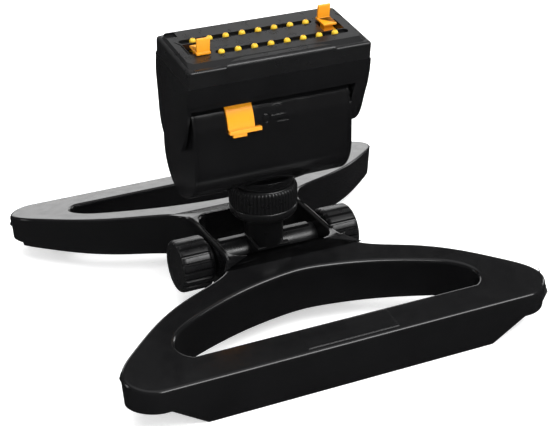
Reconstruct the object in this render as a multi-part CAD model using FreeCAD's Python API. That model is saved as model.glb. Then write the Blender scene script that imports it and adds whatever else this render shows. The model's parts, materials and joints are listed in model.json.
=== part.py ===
import FreeCAD, Part
import os, math
from FreeCAD import Vector, Rotation, Placement, Matrix

# ---------------------------------------------------------------------------
# Oscillating lawn sprinkler on a two-loop base.
# X runs along the spray head and the inlet pipe, -Y is the front, +Z is up.
# Origin: on the ground, at the centre of the base, under the swivel post.
# ---------------------------------------------------------------------------

# --- base frame ---
BASE_HX = 135.5          # half width of a loop
BASE_HY = 129.0          # half depth over both outer bars
HUB_TOP = 43.6           # height of the hub's top face
HUB_HX = 34.4            # half width of the hub opening
HUB_HY = 31.3            # half depth of the hub opening
RIB_T = 3.1              # side rib thickness
SLOPE = 0.157            # fall of the top face away from the hub, mm per mm
WALL = 2.6               # moulding wall
UNDER = 12.0             # height of the underside away from the feet
FOOT_X0 = 92.0           # half length of a foot on the ground
FOOT_X1 = 113.5          # half length of a foot at its top
BAR_Y = 107.0            # inner face of an outer bar
DRAFT = 3.4              # outer wall draws in by this from top to ground

# --- inlet pipe and post ---
PIPE_Z = 27.9
PIPE_R = 9.5
PIPE_BORE = 6.5
PIPE_HX = 45.5
POST_R = 12.4
POST_BORE = 6.2
RUN = 0.06               # radial running clearance

# --- knobs (3/4 inch garden hose size) ---
KNOB_R = 16.8
KNOB_X0 = 41.0
KNOB_X1 = 61.0
KNOB_RIBS = 20
HOSE_BORE_R = 12.6
HOSE_BORE_L = 11.0

# --- collar ---
COLLAR_R = 21.7
COLLAR_Z0 = 54.0
COLLAR_ZR = 60.6
COLLAR_ZS = 73.8
COLLAR_Z1 = 75.0
COLLAR_RIBS = 56
NECK_R = 16.9

# --- motor housing ---
PIVOT_Z = 122.0
LOW_Z = 102.0
HOUSE_R = 26.0
HOUSE_T = 2.2
HOUSE_X0 = -54.7
HOUSE_X1 = 49.0
END_T = 2.4

# --- rocker (spray head), in its own frame about the pivot ---
TILT = 8.06              # forward tilt at rest, degrees
ROCK_HX = 58.9
ROCK_HY = 26.0
PLATE_T = 2.6
PANEL_T = 1.8
PANEL_Z0 = 22.6
SEAM_Z = 38.0
EDGE_Z = 48.4
FACE_Z = 50.0
CHAMBER_X = 50.0

# --- nozzles ---
NOZ_PITCH = 10.5
NOZ_Y = 9.25
NOZ_OFF = 5.25
NOZ_R = 2.0
NOZ_N = 8

# --- gear train ---
MODULE = 1.0
T_PINION = 11
T_WHEEL = 33
AXIS_A_Z = PIVOT_Z - MODULE * (T_PINION + T_WHEEL) / 2.0
TRUN_R = 6.0

os.makedirs("parts", exist_ok=True)
V = Vector
XD, YD, ZD = V(1, 0, 0), V(0, 1, 0), V(0, 0, 1)


def box(x0, x1, y0, y1, z0, z1):
    return Part.makeBox(x1 - x0, y1 - y0, z1 - z0, V(x0, y0, z0))


def cylx(r, x0, x1, y=0.0, z=0.0):
    return Part.makeCylinder(r, x1 - x0, V(x0, y, z), XD)


def cyly(r, y0, y1, x=0.0, z=0.0):
    return Part.makeCylinder(r, y1 - y0, V(x, y0, z), YD)


def cylz(r, z0, z1, x=0.0, y=0.0):
    return Part.makeCylinder(r, z1 - z0, V(x, y, z0), ZD)


def fuse(*items):
    out = items[0]
    if len(items) > 1:
        out = out.multiFuse(list(items[1:]))
    return out.removeSplitter()


def wire_face(edges):
    return Part.Face(Part.Wire(Part.__sortEdges__(edges)))


def poly(pts):
    return Part.Face(Part.makePolygon(list(pts) + [pts[0]]))


def prism_xy(pts, z0, z1):
    return poly([V(p[0], p[1], z0) for p in pts]).extrude(V(0, 0, z1 - z0))


def prism_yz(pts, x0, x1):
    return poly([V(x0, p[0], p[1]) for p in pts]).extrude(V(x1 - x0, 0, 0))


def prism_xz(pts, y0, y1):
    return poly([V(p[0], y0, p[1]) for p in pts]).extrude(V(0, y1 - y0, 0))


def spline(pts, t0=None, t1=None):
    c = Part.BSplineCurve()
    if t0 is not None:
        c.interpolate(Points=pts, InitialTangent=t0, FinalTangent=t1)
    else:
        c.interpolate(pts)
    return c


def revolve(pts, axis_pt, axis_dir):
    """Closed profile of points turned a full circle about an axis."""
    return poly(pts).revolve(axis_pt, axis_dir, 360)


def rev_x(pts, y=0.0, z=0.0):
    """Profile (x, r) turned about the X direction through (y, z)."""
    return revolve([V(p[0], y, z + p[1]) for p in pts], V(0, y, z), XD)


def rev_z(pts, x=0.0, y=0.0):
    """Profile (r, z) turned about the Z direction through (x, y)."""
    return revolve([V(x + p[0], y, p[1]) for p in pts], V(x, y, 0), ZD)


def star(n, r_out, r_in, duty=0.5, slope=0.18):
    """Ribbed outline as (u, v) points around a circle."""
    pts = []
    step = 2 * math.pi / n
    for i in range(n):
        a = i * step
        h = step * duty / 2.0
        s = step * slope
        pts.append((r_in * math.cos(a - h - s), r_in * math.sin(a - h - s)))
        pts.append((r_out * math.cos(a - h), r_out * math.sin(a - h)))
        pts.append((r_out * math.cos(a), r_out * math.sin(a)))
        pts.append((r_out * math.cos(a + h), r_out * math.sin(a + h)))
        pts.append((r_in * math.cos(a + h + s), r_in * math.sin(a + h + s)))
    return pts


def gear(n, x0, x1, y, z, phase=0.0, thin=0.11):
    """Spur gear with involute flanks, turning about X."""
    rp = MODULE * n / 2.0
    rb = rp * math.cos(math.radians(20))
    ra = rp + 0.65 * MODULE
    rf = rp - 0.95 * MODULE
    inv = lambda a: math.tan(a) - a
    half = math.pi / (2 * n) - thin / rp
    a_p = math.radians(20)
    r_lo = max(rb, rf + 0.02)
    pts = []
    for i in range(n):
        c = phase + 2 * math.pi * i / n
        rs = [r_lo + (ra - r_lo) * k / 3.0 for k in range(4)]
        th = []
        for r in rs:
            a = math.acos(min(1.0, rb / r))
            th.append(half + inv(a_p) - inv(a))
        pts.append((rf, c - th[0]))
        for r, t in zip(rs, th):
            pts.append((r, c - t))
        for r, t in zip(reversed(rs), reversed(th)):
            pts.append((r, c + t))
        pts.append((rf, c + th[0]))
    p3 = [V(x0, y + r * math.cos(a), z + r * math.sin(a)) for r, a in pts]
    return poly(p3).extrude(V(x1 - x0, 0, 0))


NODES = {}


def keep(name, shape):
    NODES[name] = shape


def try_fillet(shape, r, edges):
    for k in (1.0, 0.7, 0.45):
        try:
            out = shape.makeFillet(r * k, edges)
            if out.isValid() and out.Volume > 0.5 * shape.Volume:
                return out
        except Exception:
            pass
    return shape


# ---------------------------------------------------------------------------
# Base frame
# ---------------------------------------------------------------------------
OUT_PTS = [(37.5, 15.0), (37.8, 29.0), (42.0, 40.5), (56.5, 50.3), (76.0, 58.5),
           (99.0, 72.0), (122.5, 92.0), (133.4, 104.4), (135.5, 111.8), (133.2, 119.0), (127.2, 125.4), (118.0, 129.0)]
HOLE_PTS = [(90.0, 107.0), (96.3, 102.5), (98.0, 97.0), (93.0, 86.5), (78.0, 77.2),
            (59.0, 69.5), (39.0, 63.2), (18.0, 58.8), (0.0, 57.0)]


def quarter_curve(off):
    """Outline of one quarter, moved inwards by off (positive = smaller)."""
    c = spline([V(x, y, 0) for x, y in OUT_PTS])
    n = 26
    a, b = c.FirstParameter, c.LastParameter
    out = []
    for i in range(n + 1):
        u = a + (b - a) * i / n
        p = c.value(u)
        t = c.tangent(u)[0]
        out.append((p.x - t.y * off, p.y + t.x * off))
    return out


def outline_face(off, z):
    q = quarter_curve(off)
    ed = []
    first, last = q[0], q[-1]
    for sx, sy in ((1, 1), (-1, 1), (-1, -1), (1, -1)):
        pts = [V(sx * p[0], sy * p[1], z) for p in q]
        ed.append(spline(pts).toShape())
    fx, fy = first
    lx, ly = last
    ed.append(Part.makeLine(V(fx, -fy, z), V(fx, fy, z)))
    ed.append(Part.makeLine(V(-fx, fy, z), V(-fx, -fy, z)))
    ed.append(Part.makeLine(V(lx, ly, z), V(-lx, ly, z)))
    ed.append(Part.makeLine(V(lx, -ly, z), V(-lx, -ly, z)))
    return Part.Wire(Part.__sortEdges__(ed))


def hole_wire(off, z, sy):
    """Outline of a loop's opening, moved outwards by off."""
    half = [(x, y) for x, y in HOLE_PTS]
    pts = [V(x, y, 0) for x, y in half] + [V(-x, y, 0) for x, y in reversed(half[:-1])]
    c = spline(pts)
    a, b = c.FirstParameter, c.LastParameter
    n = 56
    out = []
    for i in range(n + 1):
        u = a + (b - a) * i / n
        p = c.value(u)
        t = c.tangent(u)[0]
        out.append((p.x - t.y * off, p.y + t.x * off))
    # the straight side moves too
    out = [(x, min(y, BAR_Y + off)) for x, y in out]
    out[0] = (out[1][0] - 3.0, BAR_Y + off)
    out[-1] = (out[-2][0] + 3.0, BAR_Y + off)
    q = [V(x, sy * y, z) for x, y in out]
    e1 = spline(q).toShape()
    e2 = Part.makeLine(q[-1], q[0])
    return Part.Wire(Part.__sortEdges__([e1, e2]))


def roof(z_off, y_far=200.0):
    """Everything below the base's top faces, lowered by z_off."""
    z1 = HUB_TOP - SLOPE * (y_far - HUB_HY)
    return prism_yz([(-y_far, -20), (y_far, -20), (y_far, z1 - z_off), (HUB_HY, HUB_TOP - z_off),
                     (-HUB_HY, HUB_TOP - z_off), (-y_far, z1 - z_off)], -200, 200)


def base_outer():
    low = outline_face(DRAFT * 0.56, 0.0)
    top = outline_face(-DRAFT * 0.44, 50.0)
    return Part.makeLoft([low, top], True, True)


def make_base():
    body = base_outer()
    body = body.common(roof(0.0))
    for s in (1, -1):
        hole = Part.makeLoft([hole_wire(-1.4, -5.0, s), hole_wire(0.6, 55.0, s)], True, True)
        body = body.cut(hole)
    # hub opening
    hub = box(-HUB_HX, HUB_HX, -HUB_HY, HUB_HY, -5, 60)
    vert = [e for e in hub.Edges if abs(e.Vertexes[0].Z - e.Vertexes[-1].Z) > 10]
    hub = hub.makeFillet(10.0, vert)
    body = body.cut(hub)
    return body


base = make_base()
# hollow underside of each loop
inner = Part.makeLoft([outline_face(DRAFT * 0.56 + WALL, 0.0), outline_face(WALL - DRAFT * 0.44, 50.0)], True, True)
inner = inner.common(roof(WALL))
for s in (1, -1):
    keepw = Part.makeLoft([hole_wire(-1.4 + WALL, -5.0, s), hole_wire(0.6 + WALL, 55.0, s)], True, True)
    inner = inner.cut(keepw)
inner = inner.cut(box(-150, 150, -HUB_HY - WALL, HUB_HY + WALL, -10, 60))
base = base.cut(inner)
# raise the underside away from the feet
base = base.cut(box(-150, 150, -102.5, 102.5, -10, UNDER))
for sx in (1, -1):
    for sy in (1, -1):
        pts = [(sx * FOOT_X0, -10), (sx * FOOT_X0, 0), (sx * FOOT_X1, 14.0), (sx * 160, 14.0), (sx * 160, -10)]
        y0, y1 = (102.4, 140) if sy > 0 else (-140, -102.4)
        base = base.cut(prism_xz(pts, y0, y1))
# stiffening ribs under each loop
ribs = []
for s in (1, -1):
    for x in (-60, 60):
        y0, y1 = sorted((s * (BAR_Y + 1.0), s * (BASE_HY - 4.2)))
        ribs.append(box(x - 1, x + 1, y0 + 0.2, y1 - 0.2, 4, 30))
    for x in (-22, 22):
        y0, y1 = sorted((s * (HUB_HY + 1.3), s * 57.0))
        ribs.append(box(x - 1, x + 1, y0, y1, UNDER + 0.5, 41.5))
ribs = [r.common(roof(1.2)) for r in ribs]
for r in ribs:
    base = base.fuse(r)
base = base.cut(cylx(PIPE_R, -50, 50, 0, PIPE_Z))
# raised plain panel on the front bar
pan = box(-30, 28, -125.5, -109.5, 20, 50).common(roof(-0.5)).cut(roof(0.3))
base = base.fuse(pan).removeSplitter()
keep("base_frame", base)

# cradle that carries the pipe across the hub opening
crd = box(-16.9, 16.9, -4.0, 4.0, UNDER + 0.4, UNDER + 2.6)
for x in (-16.0, 16.0):
    crd = crd.fuse(prism_yz([(-HUB_HY, UNDER + 0.4), (10.5, UNDER + 0.4), (10.5, 26.0), (8.0, 31.0), (-8.0, 31.0), (-HUB_HY, 31.0)], x - 0.9, x + 0.9))
crd = crd.cut(cylx(PIPE_R, -50, 50, 0, PIPE_Z)).cut(box(-30, 30, -PIPE_R + 1.5, PIPE_R - 1.5, PIPE_Z, 60))
keep("pipe_cradle", crd.removeSplitter())

# ---------------------------------------------------------------------------
# Inlet pipe, post and clamp
# ---------------------------------------------------------------------------
pipe = cylx(PIPE_R, -PIPE_HX, PIPE_HX, 0, PIPE_Z).cut(cylx(PIPE_BORE, -PIPE_HX - 1, PIPE_HX + 1, 0, PIPE_Z))
pipe = pipe.cut(cylz(5.0, PIPE_Z, 50))
pipe = fuse(pipe, rev_x([(-40.9, PIPE_R - 0.5), (-38.9, PIPE_R - 0.5), (-38.9, 12.4), (-40.9, 12.4)], 0, PIPE_Z),
            rev_x([(40.9, PIPE_R - 0.5), (38.9, PIPE_R - 0.5), (38.9, 12.4), (40.9, 12.4)], 0, PIPE_Z))
keep("inlet_pipe", pipe)

post = cylz(POST_R, PIPE_Z, 57.6).fuse(cylz(14.0, 57.3, 62.0))
web = prism_xz([(-31.5, PIPE_Z), (-31.5, 38.4), (-30.6, 39.3), (0, 39.3), (0, PIPE_Z)], -0.6, 3.0)
web = web.fuse(prism_xz([(0, PIPE_Z), (0, 39.3), (30.0, 39.3), (30.9, 38.4), (30.9, PIPE_Z)], -2.8, 0.8))
web = web.fuse(prism_yz([(-19.3, 38.3), (-19.3, 36.6), (-11.6, 33.0), (0, 33.0), (0, 39.5), (-7, 39.5)], -12.9, -11.1))
saddle_top = box(-13.0, 13.0, -12.0, 12.0, PIPE_Z, 34.0)
post = post.fuse(web).fuse(saddle_top)
post = post.cut(cylx(PIPE_R, -60, 60, 0, PIPE_Z)).cut(cylz(POST_BORE, PIPE_Z, 70))
post = post.cut(cylz(5.0, 10, 40))
for x in (-9.5, 9.5):
    for y in (-10.9, 10.9):
        post = post.cut(cylz(0.9, 20, 31.0, x, y))
keep("swivel_post", post.removeSplitter())

saddle = box(-13.0, 13.0, -12.0, 12.0, 16.2, PIPE_Z).cut(cylx(PIPE_R, -60, 60, 0, PIPE_Z))
for x in (-9.5, 9.5):
    for y in (-10.9, 10.9):
        saddle = saddle.cut(cylz(0.9, 10, 31.0, x, y))
keep("pipe_clamp", saddle.removeSplitter())
sc = []
for x in (-9.5, 9.5):
    for y in (-10.9, 10.9):
        s = cylz(0.9, 16.2, 31.0, x, y).fuse(rev_z([(0, 14.6), (1.6, 14.6), (2.0, 15.0), (2.0, 16.2), (0, 16.2)], x, y))
        s = s.cut(box(x - 1.5, x + 1.5, y - 0.25, y + 0.25, 14, 15.1)).removeSplitter()
        sc.append(s)
keep("clamp_screws", Part.makeCompound(sc))

# inlet retainer and filter
ret = rev_x([(43.0 + 1.2, PIPE_R), (43.0 + 1.2, 11.4), (47.4, 11.4), (47.4, PIPE_BORE - 0.6), (45.5, PIPE_BORE - 0.6),
             (45.5, PIPE_R)], 0, PIPE_Z)
keep("coupling_retainer", ret)
flt = cylx(PIPE_BORE - 0.6, 45.6, 47.0, 0, PIPE_Z)
holes = []
for k in range(6):
    a = k * math.pi / 3
    holes.append(cylx(0.8, 45, 48, 3.6 * math.cos(a), PIPE_Z + 3.6 * math.sin(a)))
holes.append(cylx(0.9, 45, 48, 0, PIPE_Z))
keep("inlet_filter", flt.cut(Part.makeCompound(holes)))

# hose coupling nut
prof = [V(KNOB_X0, a, PIPE_Z + b) for a, b in star(KNOB_RIBS, KNOB_R, KNOB_R - 1.3)]
nut = poly(prof).extrude(V(KNOB_X1 - KNOB_X0, 0, 0))
env = rev_x([(KNOB_X0, 0), (KNOB_X0, KNOB_R - 1.6), (KNOB_X0 + 1.6, KNOB_R + 0.2), (KNOB_X1 - 1.6, KNOB_R + 0.2),
             (KNOB_X1, KNOB_R - 1.6), (KNOB_X1, 0)], 0, PIPE_Z)
nut = nut.common(env)
nut = nut.cut(cylx(PIPE_R + RUN, KNOB_X0 - 1, 60, 0, PIPE_Z))
nut = nut.cut(cylx(12.0, 44.0, 60, 0, PIPE_Z)).cut(cylx(HOSE_BORE_R, KNOB_X1 - HOSE_BORE_L, 70, 0, PIPE_Z))
keep("hose_coupling_nut", nut)
keep("hose_washer", rev_x([(47.7, 6.2), (47.7, 11.95), (50.0, 11.95), (50.0, 6.2)], 0, PIPE_Z))

# end cap on the far side
capp = [V(-KNOB_X1, a, PIPE_Z + b) for a, b in star(KNOB_RIBS, KNOB_R, KNOB_R - 1.3)]
cap = poly(capp).extrude(V(KNOB_X1 - KNOB_X0, 0, 0))
env = rev_x([(-KNOB_X0, 0), (-KNOB_X0, KNOB_R - 1.6), (-KNOB_X0 - 1.6, KNOB_R + 0.2), (-KNOB_X1 + 1.6, KNOB_R + 0.2),
             (-KNOB_X1, KNOB_R - 1.6), (-KNOB_X1, 0)], 0, PIPE_Z)
cap = cap.common(env).cut(cylx(PIPE_R + RUN, -50.0, -30, 0, PIPE_Z))
cap = cap.cut(rev_x([(-70, 0), (-70, 11.6), (-60.2, 11.6), (-60.2, 0)], 0, PIPE_Z))
keep("end_cap", cap)
keep("cap_washer", rev_x([(-49.9, 0), (-49.9, 9.2), (-48.1, 9.2), (-48.1, 0)], 0, PIPE_Z))
# ---------------------------------------------------------------------------
# Swivel collar and stem
# ---------------------------------------------------------------------------
cp = [V(a, b, COLLAR_ZR) for a, b in star(COLLAR_RIBS, COLLAR_R, COLLAR_R - 0.9, 0.5, 0.16)]
col = poly(cp).extrude(V(0, 0, COLLAR_ZS - COLLAR_ZR))
env = rev_z([(0, COLLAR_ZR), (COLLAR_R + 0.2, COLLAR_ZR), (COLLAR_R + 0.2, COLLAR_ZS - 1.8), (COLLAR_R - 1.4, COLLAR_ZS), (0, COLLAR_ZS)])
col = col.common(env)
col = col.fuse(rev_z([(0, COLLAR_Z0), (COLLAR_R - 2.6, COLLAR_Z0), (COLLAR_R - 0.6, COLLAR_Z0 + 1.6), (COLLAR_R - 0.15, COLLAR_Z0 + 4.0),
                      (COLLAR_R - 0.15, COLLAR_ZR - 0.4), (COLLAR_R - 0.55, COLLAR_ZR + 0.1), (0, COLLAR_ZR + 0.1)]))
col = col.fuse(rev_z([(0, COLLAR_ZS - 0.2), (20.0, COLLAR_ZS - 0.2), (20.0, COLLAR_Z1 - 0.6), (19.4, COLLAR_Z1), (0, COLLAR_Z1)]))
col = col.cut(cylz(POST_R + RUN, 50, 60)).cut(cylz(NECK_R + RUN, 57.2, 80))
keep("swivel_collar", col.removeSplitter())

stem = rev_z([(4.2, 76.4), (4.2, 44.0), (POST_BORE - 0.07, 44.0), (POST_BORE - 0.07, 47.0), (4.9, 47.0), (4.9, 49.2),
              (POST_BORE - 0.07, 49.2), (POST_BORE - 0.07, 52.0), (4.9, 52.0), (4.9, 54.2), (POST_BORE - 0.07, 54.2),
              (POST_BORE - 0.07, 62.4), (NECK_R, 62.4), (NECK_R, 75.4), (19.0, 75.4), (19.0, 76.4)])
keep("swivel_stem", stem)
keep("stem_o_rings", Part.makeCompound([
    rev_z([(4.9, z + 0.1), (POST_BORE - 0.04, z + 0.1), (POST_BORE - 0.04, z + 2.1), (4.9, z + 2.1)]) for z in (47.0, 52.0)]))

# ---------------------------------------------------------------------------
# Motor housing
# ---------------------------------------------------------------------------


def stadium(r, x0, x1):
    a = Part.Arc(V(x0, r, PIVOT_Z), V(x0, 0, PIVOT_Z + r), V(x0, -r, PIVOT_Z)).toShape()
    b = Part.makeLine(V(x0, -r, PIVOT_Z), V(x0, -r, LOW_Z))
    c = Part.Arc(V(x0, -r, LOW_Z), V(x0, 0, LOW_Z - r), V(x0, r, LOW_Z)).toShape()
    d = Part.makeLine(V(x0, r, LOW_Z), V(x0, r, PIVOT_Z))
    return Part.Face(Part.Wire([a, b, c, d])).extrude(V(x1 - x0, 0, 0))


def wedge(r0, r1, a0, a1, x0, x1):
    """Curved plate on the housing's front, angles above the horizontal."""
    p = lambda r, a: V(x0, -r * math.cos(math.radians(a)), PIVOT_Z + r * math.sin(math.radians(a)))
    am = (a0 + a1) / 2.0
    e = [Part.Arc(p(r0, a0), p(r0, am), p(r0, a1)).toShape(), Part.makeLine(p(r0, a1), p(r1, a1)),
         Part.Arc(p(r1, a1), p(r1, am), p(r1, a0)).toShape(), Part.makeLine(p(r1, a0), p(r0, a0))]
    return Part.Face(Part.Wire(e)).extrude(V(x1 - x0, 0, 0))


SX0, SX1 = HOUSE_X0 + END_T, HOUSE_X1 - END_T
shell = stadium(HOUSE_R, SX0, SX1).cut(stadium(HOUSE_R - HOUSE_T, SX0 - 1, SX1 + 1))
# bottom port for the swivel stem, with a flat seat
seat = cylz(19.0, 76.4, 80.5)
shell = shell.fuse(seat.cut(stadium(HOUSE_R - HOUSE_T, SX0 - 1, SX1 + 1)))
shell = shell.cut(cylz(30.0, 60, 76.4)).cut(cylz(4.2, 60, 90))
# slot in which the range slider runs
SLOT_A0, SLOT_A1 = 12.0, 52.0
shell = shell.cut(wedge(20, 30, SLOT_A0, SLOT_A1, -27.0, -23.0))
# plain recessed marks on the front
for x0, x1, z0, z1 in ((-2.9, 3.4, 133.8, 136.4), (-4.5, 4.5, 128.5, 130.8), (-1.0, 6.3, 124.2, 126.1)):
    b = box(x0, x1, -40, 0, z0, z1)
    ring = stadium(HOUSE_R + 1, x0, x1).cut(stadium(HOUSE_R - 0.7, x0 - 1, x1 + 1))
    shell = shell.cut(b.common(ring))
ring = stadium(HOUSE_R + 1, -12, -4).cut(stadium(HOUSE_R - 0.5, -13, -3))
shell = shell.cut(cyly(2.8, -40, 0, -8.0, 127.7).cut(cyly(2.3, -41, 1, -8.0, 127.7)).common(ring))
keep("housing_shell", shell.removeSplitter())

spig = stadium(HOUSE_R - HOUSE_T, SX0, SX0 + 3.0).cut(stadium(HOUSE_R - HOUSE_T - 1.6, SX0 - 1, SX0 + 4))
endl = stadium(HOUSE_R, HOUSE_X0, SX0).fuse(spig)
endl = endl.fuse(cylx(6.0, SX0 - 0.5, SX0 + 6.0, 0, PIVOT_Z)).cut(cylx(1.5, SX0 + 1.5, SX0 + 8, 0, PIVOT_Z))
endl = endl.fuse(cylx(4.0, -57.6, HOUSE_X0 + 0.5, 0, PIVOT_Z))
keep("housing_end_left", endl.removeSplitter())

spig = stadium(HOUSE_R - HOUSE_T, SX1 - 3.0, SX1).cut(stadium(HOUSE_R - HOUSE_T - 1.6, SX1 - 4, SX1 + 1))
endr = stadium(HOUSE_R, SX1, HOUSE_X1).fuse(spig).fuse(cylx(9.5, SX1 - 6.0, SX1 + 0.5, 0, PIVOT_Z))
endr = endr.cut(cylx(TRUN_R + RUN, 30, 60, 0, PIVOT_Z)).cut(cylx(7.8, SX1 - 7.0, SX1 - 2.0, 0, PIVOT_Z))
endr = endr.cut(wedge(HOUSE_R - 1.5, HOUSE_R + 1, 13, 23, HOUSE_X1 - 1.4, HOUSE_X1 + 1))
keep("housing_end_right", endr.removeSplitter())
keep("trunnion_seal", rev_x([(SX1 - 5.8, TRUN_R + 0.05), (SX1 - 5.8, 7.75), (SX1 - 2.1, 7.75), (SX1 - 2.1, TRUN_R + 0.05)], 0, PIVOT_Z))
# gearbox plates and axle
RI = HOUSE_R - HOUSE_T - 0.05
gl = stadium(RI, -24.0, -22.0)
gl = gl.cut(cylx(1.5 + 0.05, -30, 0, 0, PIVOT_Z)).cut(cylx(1.5, -30, 0, 0, AXIS_A_Z)).cut(cylx(1.5 + 0.05, -30, 0, 0, 92.0))
for y, z in ((-16, 96), (16, 96), (-14, 134), (14, 134)):
    gl = gl.cut(cylx(3.0, -30, -10, y, z))
gl = gl.cut(wedge(20.0, 30, SLOT_A0 - 12, SLOT_A1 + 10, -30, -10))
keep("gear_plate_left", gl)
gr = stadium(RI, 6.0, 8.0).cut(cylx(TRUN_R + RUN, 0, 20, 0, PIVOT_Z)).cut(cylx(1.5, 0, 20, 0, AXIS_A_Z))
for y, z in ((-16, 96), (16, 96), (-14, 134), (14, 134)):
    gr = gr.cut(cylx(3.0, 0, 20, y, z))
keep("gear_plate_right", gr)
keep("cluster_axle", cylx(1.5, -24.0, 8.0, 0, AXIS_A_Z))

# turbine
tw = cylx(4.0, -41.0, -27.0, 0, PIVOT_Z).fuse(cylx(17.5, -34.6, -33.4, 0, PIVOT_Z))
bl = []
for k in range(12):
    b = box(-40.0, -28.0, -0.6, 0.6, 3.0, 17.5)
    b.rotate(V(0, 0, 0), XD, 30.0 * k)
    b.translate(V(0, 0, PIVOT_Z))
    bl.append(b)
tw = tw.multiFuse(bl).cut(cylx(1.5, -50, 0, 0, PIVOT_Z)).removeSplitter()
keep("turbine_wheel", tw)
sh = cylx(1.45, SX0 + 1.8, -41.0, 0, PIVOT_Z).fuse(cylx(1.5, -41.2, -11.0, 0, PIVOT_Z))
keep("turbine_shaft", sh.removeSplitter())
tp = gear(T_PINION, -19.0, -12.0, 0, PIVOT_Z, -math.pi / 2)
tp = tp.cut(cylx(1.5, -30, 0, 0, PIVOT_Z))
keep("turbine_pinion", tp)

# cluster: large wheel meshes with the turbine pinion above, small one with the output wheel
cw = gear(T_WHEEL, -18.5, -12.5, 0, AXIS_A_Z, math.pi / 2 + math.pi / T_WHEEL)
cp2 = gear(T_PINION, -10.0, 1.0, 0, AXIS_A_Z, math.pi / 2)
cl = cw.fuse(cylx(4.2, -12.6, -9.9, 0, AXIS_A_Z)).fuse(cp2).cut(cylx(1.5 + RUN, -30, 20, 0, AXIS_A_Z))
keep("cluster_gear", cl.removeSplitter())
og = gear(T_WHEEL, -9.0, 0.0, 0, PIVOT_Z, -math.pi / 2 + math.pi / T_WHEEL)
og = og.cut(cylx(TRUN_R, -20, 20, 0, PIVOT_Z))
keep("output_gear", og)
trn = cylx(TRUN_R, -9.5, 51.6, 0, PIVOT_Z).cut(cylx(4.0, -2.0, 60, 0, PIVOT_Z))
trn = trn.cut(cylz(1.8, PIVOT_Z, 140, 14, 0)).cut(cylz(1.8, 100, PIVOT_Z, 14, 0)).cut(cyly(1.8, -12, 12, 22, PIVOT_Z))
keep("drive_trunnion", trn)

# jet block, deflector and trip lever
jb = box(-44.0, -26.0, -13.0, 13.0, 80.6, 85.5)
jb = jb.cut(cylz(1.8, 78, 88, -35, -8)).cut(cylz(1.8, 78, 88, -35, 8))
jb = jb.common(stadium(RI, -50, -20))
keep("jet_block", jb)
jd = cylx(2.4, -41.0, -27.0, 0, 92.0).fuse(prism_yz([(-9.0, 89.4), (0, 91.0), (9.0, 89.4), (9.0, 90.6), (0, 93.6), (-9.0, 90.6)], -41, -27))
jd = jd.cut(cylx(1.5, -50, 0, 0, 92.0)).removeSplitter()
keep("jet_deflector", jd)
tl = cylx(1.5, -43.0, -19.2, 0, 92.0)
arm = prism_yz([(-2.6, 90.0), (2.6, 90.0), (17.5, 108.5), (15.0, 110.0), (-2.6, 94.5)], -21.6, -20.0)
arm = arm.cut(cylx(4.6, -30, -10, 0, AXIS_A_Z))
tl = tl.fuse(arm).removeSplitter()
keep("trip_lever", tl)

# range slider, at its lowest setting
rs = wedge(HOUSE_R + 0.3, 27.8, 6.5, 36.5, -33.5, -16.5)
rs = rs.fuse(wedge(HOUSE_R + 0.3, 29.2, 0.6, 5.4, -33.0, -12.5)).fuse(wedge(HOUSE_R + 0.3, 27.8, 4.6, 7.4, -33.0, -16.5))
rs = rs.fuse(wedge(HOUSE_R + 0.3, 28.4, -4.2, 1.4, -30.6, -21.9).translated(V(0, 0, 0)))
rs = rs.fuse(wedge(HOUSE_R + 0.3, 28.3, 35.0, 38.0, -29.5, -28.0)).fuse(wedge(HOUSE_R + 0.3, 28.3, 35.0, 38.0, -23.0, -21.5))
rs = rs.fuse(wedge(22.0, HOUSE_R + 0.6, 14.5, 21.5, -26.6, -23.4))
keep("range_slider", rs.removeSplitter())
keep("range_stop", wedge(20.6, 22.0, 13.0, 23.0, -28.5, -21.5).cut(wedge(1, 19, 0, 80, -40, 0)))

# ---------------------------------------------------------------------------
# Rocker: built upright about the pivot, then tilted
# ---------------------------------------------------------------------------
U_PTS = [(26.0, 33.0), (25.6, 27.0), (25.0, 22.0), (23.2, 15.0), (21.2, 6.5), (18.6, -2.5), (15.0, -8.4), (9.5, -12.7),
         (0.0, -14.5)]


def u_solid(off, x0, x1, ztop):
    half = U_PTS
    pts = [V(0, y, z) for y, z in half] + [V(0, -y, z) for y, z in reversed(half[:-1])]
    c = spline(pts, V(0, 0, -1), V(0, 0, 1))
    a, b = c.FirstParameter, c.LastParameter
    n = 40
    out = []
    for i in range(n + 1):
        u = a + (b - a) * i / n
        p = c.value(u)
        t = c.tangent(u)[0]
        out.append(V(x0, p.y + t.z * off, p.z - t.y * off))
    e = [spline(out, V(0, 0, -1), V(0, 0, 1)).toShape(),
         Part.makeLine(out[-1], V(x0, -ROCK_HY + off, ztop)),
         Part.makeLine(V(x0, -ROCK_HY + off, ztop), V(x0, ROCK_HY - off, ztop)),
         Part.makeLine(V(x0, ROCK_HY - off, ztop), out[0])]
    return Part.Face(Part.Wire(e)).extrude(V(x1 - x0, 0, 0))


def tilt(s):
    t = s.copy()
    t.rotate(V(0, 0, 0), XD, TILT)
    t.translate(V(0, 0, PIVOT_Z))
    return t


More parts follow.
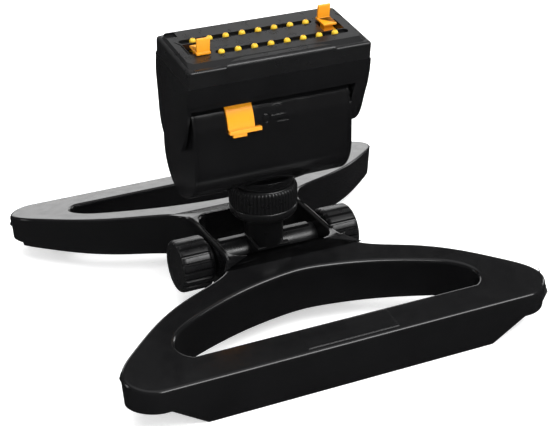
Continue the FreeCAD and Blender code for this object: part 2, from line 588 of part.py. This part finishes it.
left = u_solid(0.0, -ROCK_HX, -ROCK_HX + PLATE_T, SEAM_Z)
left = left.cut(cylx(4.06, -57.9, -50, 0, 0))
left = left.cut(cylx(1.2, -60, -ROCK_HX + 0.4, 0, 0))
right = u_solid(0.0, CHAMBER_X, 57.2, SEAM_Z).cut(u_solid(1.6, CHAMBER_X + 1.6, 58.0, SEAM_Z - 1.6))
right = right.cut(cylx(TRUN_R, 40, 51.8, 0, 0))
right = right.cut(box(49, 52, -14, 14, 33.0, 36.0))
fp = box(-ROCK_HX, 57.2, -ROCK_HY, -ROCK_HY + PANEL_T, PANEL_Z0 + 3, SEAM_Z)
bp = box(-ROCK_HX, 57.2, ROCK_HY - PANEL_T, ROCK_HY, PANEL_Z0 + 3, SEAM_Z)
lip = prism_yz([(-ROCK_HY, PANEL_Z0 + 4), (-ROCK_HY + 0.2, PANEL_Z0), (-ROCK_HY + 1.5, PANEL_Z0), (-ROCK_HY + PANEL_T, PANEL_Z0 + 4)], -ROCK_HX + 1, CHAMBER_X + 1)
lipb = lip.mirror(V(0, 0, 0), YD)
bosses = []
for x in (-52.0, 45.5):
    for y in (-21.0, 21.0):
        bosses.append(cylz(3.0, 28.5, SEAM_Z, x, y))
shell_r = left.multiFuse([right, fp, bp, lip, lipb])
cross = []
for x in (-52.0, 45.5):
    for s in (-1, 1):
        y0, y1 = sorted((s * 20.5, s * 25.0))
        cross.append(box(x - 3.0, x + 3.0, y0, y1, 30.0, SEAM_Z))
shell_r = shell_r.multiFuse(bosses + cross)
for x in (-52.0, 45.5):
    for y in (-21.0, 21.0):
        shell_r = shell_r.cut(cylz(1.2, 20, 60, x, y))
keep("rocker_shell", tilt(shell_r.removeSplitter()))
cc = u_solid(0.0, 57.2, ROCK_HX, SEAM_Z).cut(cylx(1.2, ROCK_HX - 0.4, 60, 0, 0))
keep("chamber_cover", tilt(cc))

# top cover
cov = box(-ROCK_HX, ROCK_HX, -ROCK_HY, ROCK_HY, SEAM_Z, EDGE_Z)
cov = try_fillet(cov, 2.4, [e for e in cov.Edges if abs(e.Vertexes[0].Z - e.Vertexes[-1].Z) > 5])
te = [e for e in cov.Edges if all(abs(v.Z - EDGE_Z) < 0.01 for v in e.Vertexes)]
cov = try_fillet(cov, 1.8, te)
pl_in = [(-55.5, -15), (-53, -18.5), (53, -18.5), (56, -15), (56, 20), (54, 23.5), (-54, 23.5), (-55.5, 20)]
pl_out = [(-57, -21), (-54.5, -24), (54.5, -24), (57, -21), (57, 22), (54.8, 24.3), (-54.8, 24.3), (-57, 22)]
pz = lambda pts, z: Part.makePolygon([V(x, y, z) for x, y in pts + pts[:1]])
plat = Part.makeLoft([pz(pl_out, EDGE_Z - 0.3), pz(pl_in, FACE_Z)], True, True)
plat = plat.fuse(prism_xy(pl_out, EDGE_Z - 1.5, EDGE_Z - 0.3))
brow = prism_xy([(-35.4, -26.4), (-34.3, -25.0), (-32.3, -23.6), (-28.5, -21.4), (-23.4, -20.0), (-16.0, -19.8), (23.0, -19.8), (28.0, -21.0),
                 (31.5, -23.0), (34.0, -25.2), (35.0, -26.4)], 41.0, FACE_Z + 0.1)
rr = 3.0
arc = [(-26.4 + rr - rr * math.cos(math.radians(t)), FACE_Z + 0.1 - rr + rr * math.sin(math.radians(t))) for t in range(0, 91, 10)]
brow = brow.cut(prism_yz([(-30, FACE_Z + 0.1 - rr)] + arc + [(-26.4 + rr, FACE_Z + 5), (-30, FACE_Z + 5)], -50, 50))
brow = brow.cut(prism_xz([(-40, 40), (-31.0, 40), (-35.6, 43.2), (-40, 43.2)], -30, 0)).cut(prism_xz([(40, 40), (30.0, 40), (35.2, 43.2), (40, 43.2)], -30, 0))
cov = cov.multiFuse([plat, brow])
cov = cov.cut(box(-ROCK_HX + 2, ROCK_HX - 2, -ROCK_HY + 2, ROCK_HY - 2, SEAM_Z - 1, 45.6))
for x in (-52.0, 45.5):
    for y in (-21.0, 21.0):
        cov = cov.fuse(cylz(3.5, SEAM_Z, 46.0, x, y).cut(cylz(1.2, SEAM_Z - 1, 44.5, x, y)))
# grooves round the nozzles
for yy, xa, xb in ((NOZ_Y, -50.8, 35.2), (-NOZ_Y, -35.2, 50.8)):
    g = box(xa + 2.5, xb - 2.5, yy - 2.5, yy + 2.5, 48.2, 60).fuse(cylz(2.5, 48.2, 60, xa + 2.5, yy)).fuse(cylz(2.5, 48.2, 60, xb - 2.5, yy))
    cov = cov.cut(g)
rear_x = [-NOZ_OFF + NOZ_PITCH * (i - 3.5) for i in range(NOZ_N)]
front_x = [NOZ_OFF + NOZ_PITCH * (i - 3.5) for i in range(NOZ_N)]
for xs, yy in ((rear_x, NOZ_Y), (front_x, -NOZ_Y)):
    for x in xs:
        cov = cov.cut(cylz(NOZ_R + 0.1, 44, 60, x, yy))
# short grooves beside the tabs and pockets at the rear corners
for pts in ([(-53.6, 10.2), (-53.0, 9.6), (-51.3, 5.4), (-51.2, -6.8), (-50.5, -6.8), (-50.4, 5.6), (-52.6, 10.4)],
            [(53.2, 13.4), (53.9, 13.8), (55.9, 10.4), (56.9, 2.2), (56.9, -4.3), (56.2, -4.3), (56.1, 2.1), (55.1, 10.0)]):
    cov = cov.cut(prism_xy(pts, EDGE_Z + 0.5, 60))
cov = cov.cut(box(-55.8, -48.6, 16.8, 23.0, EDGE_Z + 0.3, 60)).cut(box(51.0, 56.4, 16.8, 22.6, EDGE_Z + 0.3, 60))
# slots for the width tabs
cov = cov.cut(box(-50.0, -36.5, -7.0, 6.0, 40, 60)).cut(box(36.5, 50.0, -6.0, 7.0, 40, 60))
keep("nozzle_cover", tilt(cov.removeSplitter()))

man = box(-54.0, 51.6, -16.5, 16.5, 31.0, 43.4).cut(box(-52.0, 51.0 + 2, -14.5, 14.5, 33.0, 41.6))
cut_n = []
for xs, yy in ((rear_x, NOZ_Y), (front_x, -NOZ_Y)):
    for x in xs:
        cut_n.append(cylz(1.0, 40, 45, x, yy))
man = man.cut(Part.makeCompound(cut_n))
man = man.cut(box(50.0, 52.0, -17, 17, 30, 33.0)).cut(box(50.0, 52.0, -17, 17, 36.0, 44)).cut(box(50, 52, -17, -14, 30, 44)).cut(box(50, 52, 14, 17, 30, 44))
keep("manifold", tilt(man.removeSplitter()))

noz_f, noz_r = [], []
for xs, yy, store in ((rear_x, NOZ_Y, noz_r), (front_x, -NOZ_Y, noz_f)):
    for x in xs:
        n = cylz(NOZ_R, 43.4, 49.6, x, yy).fuse(Part.makeSphere(NOZ_R, V(x, yy, 49.5)))
        n = n.common(cylz(5, 43.4, 51.5, x, yy)).cut(cylz(0.6, 43, 52, x, yy))
        store.append(n.removeSplitter())
keep("nozzles_front", tilt(Part.makeCompound(noz_f)))
keep("nozzles_rear", tilt(Part.makeCompound(noz_r)))

rsc = []
for x in (-52.0, 45.5):
    for y in (-21.0, 21.0):
        s = cylz(1.2, 28.5, 44.0, x, y).fuse(rev_z([(0, 26.9), (1.9, 26.9), (2.4, 27.3), (2.4, 28.5), (0, 28.5)], x, y))
        s = s.cut(box(x - 1.7, x + 1.7, y - 0.3, y + 0.3, 26, 27.5)).removeSplitter()
        rsc.append(s)
keep("rocker_screws", tilt(Part.makeCompound(rsc)))


def width_tab(sign):
    """Upright tab with a foot in the slot, a stem and a shutter bar below the cover."""
    plate = prism_yz([(-9.6, FACE_Z + 0.3), (-8.0, FACE_Z + 0.3), (-7.7, FACE_Z + 9.4), (-8.2, FACE_Z + 10.2), (-9.0, FACE_Z + 10.2), (-9.5, FACE_Z + 9.4)],
                     -47.0, -38.9)
    foot = box(-47.4, -38.6, -10.6, 1.0, FACE_Z + 0.3, FACE_Z + 1.6)
    stem_t = box(-46.0, -40.0, -6.4, -1.0, 45.2, FACE_Z + 0.5)
    tab = plate.fuse(foot).fuse(stem_t)
    tab = tab.fuse(box(-49.5, -37.2, -6.8, 1.8, 43.9, 45.2)).removeSplitter()
    if sign > 0:
        tab.rotate(V(0, 0, 0), ZD, 180)
    return tab


keep("width_slider_left", tilt(width_tab(-1)))
keep("width_slider_right", tilt(width_tab(1)))

for name, shape in NODES.items():
    shape.exportStep("parts/%s.step" % name)
    sol = shape.Solids
    print("%-22s solids %d valid %s vol %.1f bb %.1f %.1f %.1f / %.1f %.1f %.1f" % (
        name, len(sol), shape.isValid(), shape.Volume,
        shape.BoundBox.XMin, shape.BoundBox.YMin, shape.BoundBox.ZMin,
        shape.BoundBox.XMax, shape.BoundBox.YMax, shape.BoundBox.ZMax))
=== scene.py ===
import bpy
import bmesh
import json
import math
from mathutils import Vector, Matrix
from mathutils.bvhtree import BVHTree


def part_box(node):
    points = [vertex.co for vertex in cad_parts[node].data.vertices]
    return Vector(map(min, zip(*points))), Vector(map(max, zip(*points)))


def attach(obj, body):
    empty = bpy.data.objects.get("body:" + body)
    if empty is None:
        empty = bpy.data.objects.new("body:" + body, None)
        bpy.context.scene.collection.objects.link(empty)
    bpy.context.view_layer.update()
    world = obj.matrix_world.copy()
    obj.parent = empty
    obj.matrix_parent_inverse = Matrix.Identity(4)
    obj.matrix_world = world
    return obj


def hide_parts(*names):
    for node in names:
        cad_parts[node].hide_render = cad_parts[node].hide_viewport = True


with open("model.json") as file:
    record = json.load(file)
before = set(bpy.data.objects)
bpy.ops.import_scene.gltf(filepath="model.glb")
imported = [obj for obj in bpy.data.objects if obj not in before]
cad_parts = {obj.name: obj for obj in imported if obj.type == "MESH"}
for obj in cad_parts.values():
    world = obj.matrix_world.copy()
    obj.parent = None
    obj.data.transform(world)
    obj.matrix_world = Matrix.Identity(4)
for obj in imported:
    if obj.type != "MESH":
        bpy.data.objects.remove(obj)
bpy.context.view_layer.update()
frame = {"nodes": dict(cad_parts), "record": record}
N = frame["nodes"]
scene = bpy.context.scene

# ---------------------------------------------------------------- camera
cam_data = bpy.data.cameras.new("camera")
cam = bpy.data.objects.new("camera", cam_data)
scene.collection.objects.link(cam)
right = Vector((0.90670, -0.42149, -0.01596))
up = Vector((0.19964, 0.39552, 0.89651))
back = Vector((-0.37155, -0.81604, 0.44276))
m = Matrix.Identity(4)
for i in range(3):
    m[i][0], m[i][1], m[i][2] = right[i], up[i], back[i]
m.translation = Vector((-0.3224, -0.7228, 0.4417))
cam.matrix_world = m
cam_data.lens = 91.26
cam_data.sensor_width = 36.0
cam_data.shift_x = 0.0035
cam_data.shift_y = 0.0025
cam_data.clip_start = 0.05
cam_data.clip_end = 30.0
scene.camera = cam
scene.view_settings.view_transform = "Standard"
scene.view_settings.look = "None"

# ---------------------------------------------------------------- materials


def nodes_of(name):
    mat = bpy.data.materials.new(name)
    mat.use_nodes = True
    nt = mat.node_tree
    nt.nodes.clear()
    out = nt.nodes.new("ShaderNodeOutputMaterial")
    b = nt.nodes.new("ShaderNodeBsdfPrincipled")
    nt.links.new(b.outputs[0], out.inputs[0])
    return mat, nt, b


def ramp(nt, fac, lo, hi, a=0.3, b=0.7):
    r = nt.nodes.new("ShaderNodeMapRange")
    r.inputs["From Min"].default_value = a
    r.inputs["From Max"].default_value = b
    r.inputs["To Min"].default_value = lo
    r.inputs["To Max"].default_value = hi
    nt.links.new(fac, r.inputs["Value"])
    return r.outputs[0]


def mixcol(nt, fac, c1, c2):
    mx = nt.nodes.new("ShaderNodeMix")
    mx.data_type = "RGBA"
    nt.links.new(fac, mx.inputs[0])
    mx.inputs[6].default_value = (*c1, 1)
    mx.inputs[7].default_value = (*c2, 1)
    return mx.outputs[2]


def plastic(name, col, col2, rough=0.2, rough_var=0.08, grain=2600.0, bump=0.02, spec=0.5, coat=0.0, wear=(0.05, 0.05, 0.052), wear_amt=0.0,
            sub=0.0):
    """Moulded plastic: slight flow variation, fine surface grain, faint scuffs on sharp edges."""
    mat, nt, b = nodes_of(name)
    tc = nt.nodes.new("ShaderNodeTexCoord")
    big = nt.nodes.new("ShaderNodeTexNoise")
    big.inputs["Scale"].default_value = 35.0
    big.inputs["Detail"].default_value = 4.0
    nt.links.new(tc.outputs["Object"], big.inputs["Vector"])
    fine = nt.nodes.new("ShaderNodeTexNoise")
    fine.inputs["Scale"].default_value = grain
    fine.inputs["Detail"].default_value = 3.0
    nt.links.new(tc.outputs["Object"], fine.inputs["Vector"])
    base = mixcol(nt, ramp(nt, big.outputs["Fac"], 0.0, 1.0), col, col2)
    if wear_amt > 0:
        geo = nt.nodes.new("ShaderNodeNewGeometry")
        edge = ramp(nt, geo.outputs["Pointiness"], 0.0, wear_amt, 0.53, 0.62)
        mx = nt.nodes.new("ShaderNodeMix")
        mx.data_type = "RGBA"
        nt.links.new(edge, mx.inputs[0])
        nt.links.new(base, mx.inputs[6])
        mx.inputs[7].default_value = (*wear, 1)
        base = mx.outputs[2]
    nt.links.new(base, b.inputs["Base Color"])
    scr = nt.nodes.new("ShaderNodeTexNoise")
    scr.inputs["Scale"].default_value = 160.0
    scr.inputs["Detail"].default_value = 8.0
    nt.links.new(tc.outputs["Object"], scr.inputs["Vector"])
    nt.links.new(ramp(nt, scr.outputs["Fac"], rough - rough_var / 2, rough + rough_var / 2, 0.35, 0.65), b.inputs["Roughness"])
    bp = nt.nodes.new("ShaderNodeBump")
    bp.inputs["Strength"].default_value = bump
    bp.inputs["Distance"].default_value = 0.0004
    nt.links.new(fine.outputs["Fac"], bp.inputs["Height"])
    nt.links.new(bp.outputs[0], b.inputs["Normal"])
    b.inputs["Specular IOR Level"].default_value = spec
    b.inputs["Coat Weight"].default_value = coat
    b.inputs["Coat Roughness"].default_value = 0.05
    if sub > 0:
        b.inputs["Subsurface Weight"].default_value = sub
        b.inputs["Subsurface Radius"].default_value = (0.002, 0.001, 0.0004)
    return mat


def metal(name, col, rough):
    mat, nt, b = nodes_of(name)
    tc = nt.nodes.new("ShaderNodeTexCoord")
    n = nt.nodes.new("ShaderNodeTexNoise")
    n.inputs["Scale"].default_value = 900.0
    n.inputs["Detail"].default_value = 5.0
    nt.links.new(tc.outputs["Object"], n.inputs["Vector"])
    c2 = tuple(c * 0.8 for c in col)
    nt.links.new(mixcol(nt, ramp(nt, n.outputs["Fac"], 0, 1), col, c2), b.inputs["Base Color"])
    nt.links.new(ramp(nt, n.outputs["Fac"], rough - 0.08, rough + 0.1), b.inputs["Roughness"])
    b.inputs["Metallic"].default_value = 1.0
    return mat


GLOSS = plastic("black_gloss", (0.0042, 0.0042, 0.0045), (0.0062, 0.0062, 0.0066), 0.17, 0.06, 1500.0, 0.012, 0.5)
SATIN = plastic("black_satin", (0.0058, 0.0058, 0.0062), (0.0085, 0.0085, 0.009), 0.31, 0.09, 1500.0, 0.02, 0.5)
ORANGE = plastic("orange_tab", (1.0, 0.36, 0.014), (1.0, 0.40, 0.018), 0.32, 0.08, 2200.0, 0.05, 0.5, sub=0.08)
YELLOW = plastic("yellow_nozzle", (0.92, 0.56, 0.03), (0.96, 0.64, 0.05), 0.40, 0.08, 2600.0, 0.05, 0.45, sub=0.10)
RUBBER = plastic("black_rubber", (0.013, 0.013, 0.013), (0.02, 0.02, 0.02), 0.62, 0.12, 3000.0, 0.10, 0.35)
WHITE = plastic("white_acetal", (0.80, 0.79, 0.74), (0.85, 0.84, 0.80), 0.38, 0.08, 2400.0, 0.03, 0.5, sub=0.05)
STEEL = metal("stainless", (0.62, 0.61, 0.60), 0.28)
SLOTMAT = {"black_gloss": GLOSS, "black_satin": SATIN, "orange_tab": ORANGE, "yellow_nozzle": YELLOW, "black_rubber": RUBBER,
           "stainless": STEEL, "white_acetal": WHITE}
BODY, SLOT = {}, {}
for body, members in frame["record"]["behaviour"]["bodies"].items():
    for n in members:
        BODY[n] = body
for sp in frame["record"]["subparts"]:
    o = N[sp["node"]]
    SLOT[sp["node"]] = sp["material_slot"]
    o.data.materials.clear()
    o.data.materials.append(SLOTMAT[sp["material_slot"]])

MM = 0.001


# ---------------------------------------------------------------- mesh tools


def place(me, name, body, slot, node=None, smooth=True, weighted=True):
    """Puts a finished mesh in the scene, riding on a body and standing for a CAD node."""
    o = bpy.data.objects.new(name, me)
    scene.collection.objects.link(o)
    me.materials.clear()
    me.materials.append(SLOTMAT[slot])
    if smooth:
        for f in me.polygons:
            f.use_smooth = True
    if weighted:
        w = o.modifiers.new("weighted", "WEIGHTED_NORMAL")
        w.mode = "FACE_AREA_WITH_ANGLE"
        w.weight = 80
        w.keep_sharp = True
    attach(o, body)
    if node:
        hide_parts(node)
    return o


def mark_sharp(me, ang):
    bm = bmesh.new()
    bm.from_mesh(me)
    for e in bm.edges:
        e.smooth = not (e.is_manifold and e.calc_face_angle(0.0) > math.radians(ang))
    bm.to_mesh(me)
    bm.free()


def refined(node, width, segs=3, ang=28.0, pick=None, dissolve=0.5, passes=(), sharp=50.0):
    """The CAD shape with its moulded edges rounded over: same faces, softened corners, inside the same box."""
    me = N[node].data.copy()
    me.name = "m_" + node
    bm = bmesh.new()
    bm.from_mesh(me)
    bmesh.ops.remove_doubles(bm, verts=bm.verts, dist=2e-6)
    bmesh.ops.dissolve_limit(bm, angle_limit=math.radians(dissolve), verts=bm.verts, edges=bm.edges, use_dissolve_boundaries=False, delimit=set())
    skin = BVHTree.FromBMesh(bm)
    reach = max([width] + [q[0] for q in passes]) * MM * 1.05
    for w, sg, chooser in (tuple(passes) + ((width, segs, pick),)):
        es = []
        for e in bm.edges:
            if len(e.link_faces) != 2 or e.calc_length() < 1e-7:
                continue
            if e.calc_face_angle(0.0) < math.radians(ang):
                continue
            if chooser is not None and not chooser(e):
                continue
            es.append(e)
        if es:
            bmesh.ops.bevel(bm, geom=es, offset=w * MM, offset_type="OFFSET", segments=sg, profile=0.5, affect="EDGES",
                            clamp_overlap=False, loop_slide=True, miter_outer="SHARP", miter_inner="SHARP")
    for v in bm.verts:
        near = skin.find_nearest(v.co)
        if near[0] is not None and near[3] > reach:
            v.co = near[0]
    lo_, hi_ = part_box(node)
    for v in bm.verts:
        v.co = Vector([min(max(v.co[i], lo_[i]), hi_[i]) for i in range(3)])
    bmesh.ops.remove_doubles(bm, verts=bm.verts, dist=1e-6)
    bmesh.ops.dissolve_degenerate(bm, edges=bm.edges, dist=1e-7)
    bmesh.ops.recalc_face_normals(bm, faces=bm.faces)
    bm.to_mesh(me)
    bm.free()
    mark_sharp(me, sharp)
    return place(me, "v_" + node, BODY[node], SLOT[node], node)


def mid(e):
    return (e.verts[0].co + e.verts[1].co) / 2 / MM


def ribbed(name, prof, n_ribs, sub, axis, centre, shape, closed=True):
    """A turned body with ribs round it: prof lists (station, radius, rib depth), shape gives the rib height over one pitch."""
    bm = bmesh.new()
    rings = []
    n = n_ribs * sub
    for t, r, amp in prof:
        ring = []
        for k in range(n):
            a = 2 * math.pi * k / n
            rr = (r - amp * (1.0 - shape((k % sub) / sub))) * MM
            if axis == "x":
                co = (t * MM, centre[0] * MM + rr * math.cos(a), centre[1] * MM + rr * math.sin(a))
            else:
                co = (centre[0] * MM + rr * math.cos(a), centre[1] * MM + rr * math.sin(a), t * MM)
            ring.append(bm.verts.new(co))
        rings.append(ring)
    m = len(rings)
    for i in range(m if closed else m - 1):
        A, B = rings[i], rings[(i + 1) % m]
        for k in range(n):
            bm.faces.new((A[k], A[(k + 1) % n], B[(k + 1) % n], B[k]))
    if not closed:
        bm.faces.new(rings[0])
        bm.faces.new(rings[-1])
    bmesh.ops.recalc_face_normals(bm, faces=bm.faces)
    me = bpy.data.meshes.new(name)
    bm.to_mesh(me)
    bm.free()
    return me


# ---------------------------------------------------------------- base: rounded rims
def top_rim(e):
    m_ = mid(e)
    zt = 43.6 - 0.157 * max(0.0, abs(m_.y) - 31.3)
    return abs(m_.z - zt) < 0.35 and not (abs(m_.x + 1.0) < 29.6 and -126.0 < m_.y < -109.0)


def low_edge(e):
    m_ = mid(e)
    return m_.z < 15.0 or abs(m_.z - 12.0) < 0.3


refined("base_frame", 0.35, 2, 28.0, pick=lambda e: (not top_rim(e)) and mid(e).z > 38.0 - 0.157 * abs(mid(e).y), passes=((2.3, 5, top_rim),))
for n_, w_, s_ in (("swivel_post", 0.25, 2), ("rocker_shell", 0.3, 2), ("chamber_cover", 0.5, 3),
                   ("housing_end_left", 0.5, 3), ("housing_end_right", 0.5, 3), ("housing_shell", 0.2, 2),
                   ("range_slider", 0.3, 3), ("width_slider_left", 0.3, 3), ("width_slider_right", 0.3, 3)):
    refined(n_, w_, s_)

# ---------------------------------------------------------------- knobs and collar


def rib_knob(u):
    u = (u + 0.5) % 1.0
    d = abs(u - 0.5) * 2
    return 1.0 if d < 0.62 else max(0.0, 1.0 - (d - 0.62) / 0.22) ** 1.2 if d < 0.84 else 0.0


def rib_fine(u):
    return 0.5 + 0.5 * math.cos(2 * math.pi * u)


out_ = [(41.0, 13.6, 0), (41.0, 14.9, 0.3), (41.5, 15.9, 0.9), (42.4, 16.6, 1.3), (43.4, 16.8, 1.35), (50.0, 16.8, 1.35), (57.5, 16.8, 1.35),
        (59.2, 16.7, 1.3), (60.0, 16.3, 0.95), (60.6, 15.7, 0.4), (60.92, 15.1, 0.05), (61.0, 14.6, 0)]
nut = out_ + [(61.0, 13.5, 0), (60.7, 13.0, 0), (60.2, 12.65, 0), (50.0, 12.6, 0), (50.0, 12.0, 0), (44.0, 12.0, 0), (44.0, 9.56, 0), (41.0, 9.56, 0)]
me = ribbed("coupling", nut, 20, 14, "x", (0, 27.9), rib_knob)
mark_sharp(me, 40)
place(me, "v_hose_coupling", "inlet_coupling", "black_satin", "hose_coupling_nut")
# thread inside the coupling
bm = bmesh.new()
rows = []
steps, turns, x_a, pitch = 48, 3.9, 51.2, 2.2
for k in range(int(steps * turns) + 1):
    a = 2 * math.pi * k / steps
    x0_ = x_a + pitch * k / steps
    g = min(1.0, k / 10.0, (steps * turns - k) / 10.0)
    row = []
    for dx, rr in ((-0.75, 12.61), (-0.2, 12.61 - 0.5 * g), (0.2, 12.61 - 0.5 * g), (0.75, 12.61), (0.0, 12.66)):
        row.append(bm.verts.new(((x0_ + dx) * MM, rr * MM * math.cos(a), (27.9 + rr * math.sin(a)) * MM)))
    rows.append(row)
for A, B in zip(rows, rows[1:]):
    for i in range(5):
        bm.faces.new((A[i], A[(i + 1) % 5], B[(i + 1) % 5], B[i]))
bm.faces.new(rows[0])
bm.faces.new(rows[-1])
bmesh.ops.recalc_face_normals(bm, faces=bm.faces)
tm = bpy.data.meshes.new("hose_thread")
bm.to_mesh(tm)
bm.free()
place(tm, "hose_thread", "inlet_coupling", "black_satin")
cap_p = [(-t, r, a) for t, r, a in out_] + [(-61.0, 12.4, 0), (-60.8, 12.05, 0), (-60.4, 11.8, 0), (-60.25, 11.3, 0), (-60.2, 6.0, 0), (-60.2, 0.4, 0)]
inner_p = [(-50.0, 0.4, 0), (-50.0, 9.56, 0), (-41.0, 9.56, 0)]
me = ribbed("cap", cap_p + inner_p, 20, 14, "x", (0, 27.9), rib_knob)
mark_sharp(me, 40)
place(me, "v_end_cap", "drain_cap", "black_satin", "end_cap")
col_p = [(54.0, 12.46, 0), (54.0, 18.9, 0), (54.3, 19.7, 0), (55.2, 20.6, 0), (56.4, 21.25, 0), (58.0, 21.55, 0), (59.6, 21.55, 0), (60.3, 21.35, 0),
         (60.6, 20.9, 0), (60.9, 20.95, 0.05), (61.3, 21.5, 0.7), (61.9, 21.7, 0.9), (66.0, 21.7, 0.9), (71.4, 21.7, 0.9), (72.6, 21.35, 0.75),
         (73.4, 20.7, 0.4), (73.8, 20.1, 0.0), (74.3, 19.95, 0), (74.75, 19.7, 0), (75.0, 19.2, 0), (75.0, 16.96, 0), (57.2, 16.96, 0), (57.2, 12.46, 0)]
me = ribbed("collar", col_p, 56, 8, "z", (0, 0), rib_fine)
mark_sharp(me, 50)
place(me, "v_swivel_collar", "collar", "black_satin", "swivel_collar")

# ---------------------------------------------------------------- stage
floor_mat, nt, b = nodes_of("floor")
tc = nt.nodes.new("ShaderNodeTexCoord")
fn = nt.nodes.new("ShaderNodeTexNoise")
fn.inputs["Scale"].default_value = 3.0
nt.links.new(tc.outputs["Object"], fn.inputs["Vector"])
nt.links.new(mixcol(nt, ramp(nt, fn.outputs["Fac"], 0, 1), (0.93, 0.93, 0.93), (0.95, 0.95, 0.95)), b.inputs["Base Color"])
b.inputs["Roughness"].default_value = 0.7
b.inputs["Specular IOR Level"].default_value = 0.1
b.inputs["Emission Color"].default_value = (1.0, 1.0, 1.0, 1)
b.inputs["Emission Strength"].default_value = 0.55
me = bpy.data.meshes.new("floor")
bm = bmesh.new()
bmesh.ops.create_grid(bm, x_segments=4, y_segments=4, size=6.0)
bm.to_mesh(me)
bm.free()
floor = bpy.data.objects.new("floor", me)
scene.collection.objects.link(floor)
me.materials.append(floor_mat)

floor.visible_glossy = False
world = bpy.data.worlds.new("studio")
scene.world = world
world.use_nodes = True
wn = world.node_tree
wn.nodes.clear()
wo = wn.nodes.new("ShaderNodeOutputWorld")
bg = wn.nodes.new("ShaderNodeBackground")
wn.links.new(bg.outputs[0], wo.inputs[0])
geo = wn.nodes.new("ShaderNodeTexCoord")
sep = wn.nodes.new("ShaderNodeSeparateXYZ")
wn.links.new(geo.outputs["Generated"], sep.inputs[0])
zr = wn.nodes.new("ShaderNodeMapRange")
zr.inputs["From Min"].default_value = -1.0
zr.inputs["From Max"].default_value = 1.0
wn.links.new(sep.outputs["Z"], zr.inputs["Value"])
cr = wn.nodes.new("ShaderNodeValToRGB")
el = cr.color_ramp.elements
el[0].position, el[0].color = 0.0, (0.02, 0.02, 0.02, 1)
el[1].position, el[1].color = 1.0, (0.75, 0.75, 0.76, 1)
for pos_, v_ in ((0.48, 0.03), (0.52, 0.10), (0.66, 0.09), (0.80, 0.05), (0.88, 0.10), (0.94, 0.45)):
    e = el.new(pos_)
    e.color = (v_, v_, v_ * 1.01, 1)
wn.links.new(zr.outputs[0], cr.inputs[0])
wn.links.new(cr.outputs[0], bg.inputs[0])
bg.inputs[1].default_value = 1.0


def area(name, loc, target, size, size_y, power, col=(1, 1, 1), glossy=True):
    d = bpy.data.lights.new(name, "AREA")
    d.shape = "RECTANGLE"
    d.size, d.size_y = size, size_y
    d.energy = power
    d.color = col
    o = bpy.data.objects.new(name, d)
    scene.collection.objects.link(o)
    o.location = loc
    o.rotation_mode = "QUATERNION"
    o.rotation_quaternion = (Vector(target) - Vector(loc)).to_track_quat("-Z", "Y")
    o.visible_glossy = glossy
    return o


area("overhead", (0.0, 0.0, 2.2), (0, 0, 0.0), 3.0, 3.0, 42.0, glossy=False)
area("front_fill", (-0.7, -1.8, 1.0), (0, 0, 0.1), 1.6, 1.6, 17.0, glossy=False)
area("front_high", (0.62, -1.02, 1.35), (0, 0, 0.08), 1.3, 0.55, 17.0)
area("back_strip", (0.6, 1.9, 0.68), (0, 0, 0.08), 2.6, 1.05, 17.0)
area("rim_right", (1.7, 0.5, 0.7), (0, 0, 0.08), 0.35, 0.9, 4.0)
area("rim_left", (-1.7, 0.3, 0.6), (0, 0, 0.08), 0.25, 0.9, 2.5)
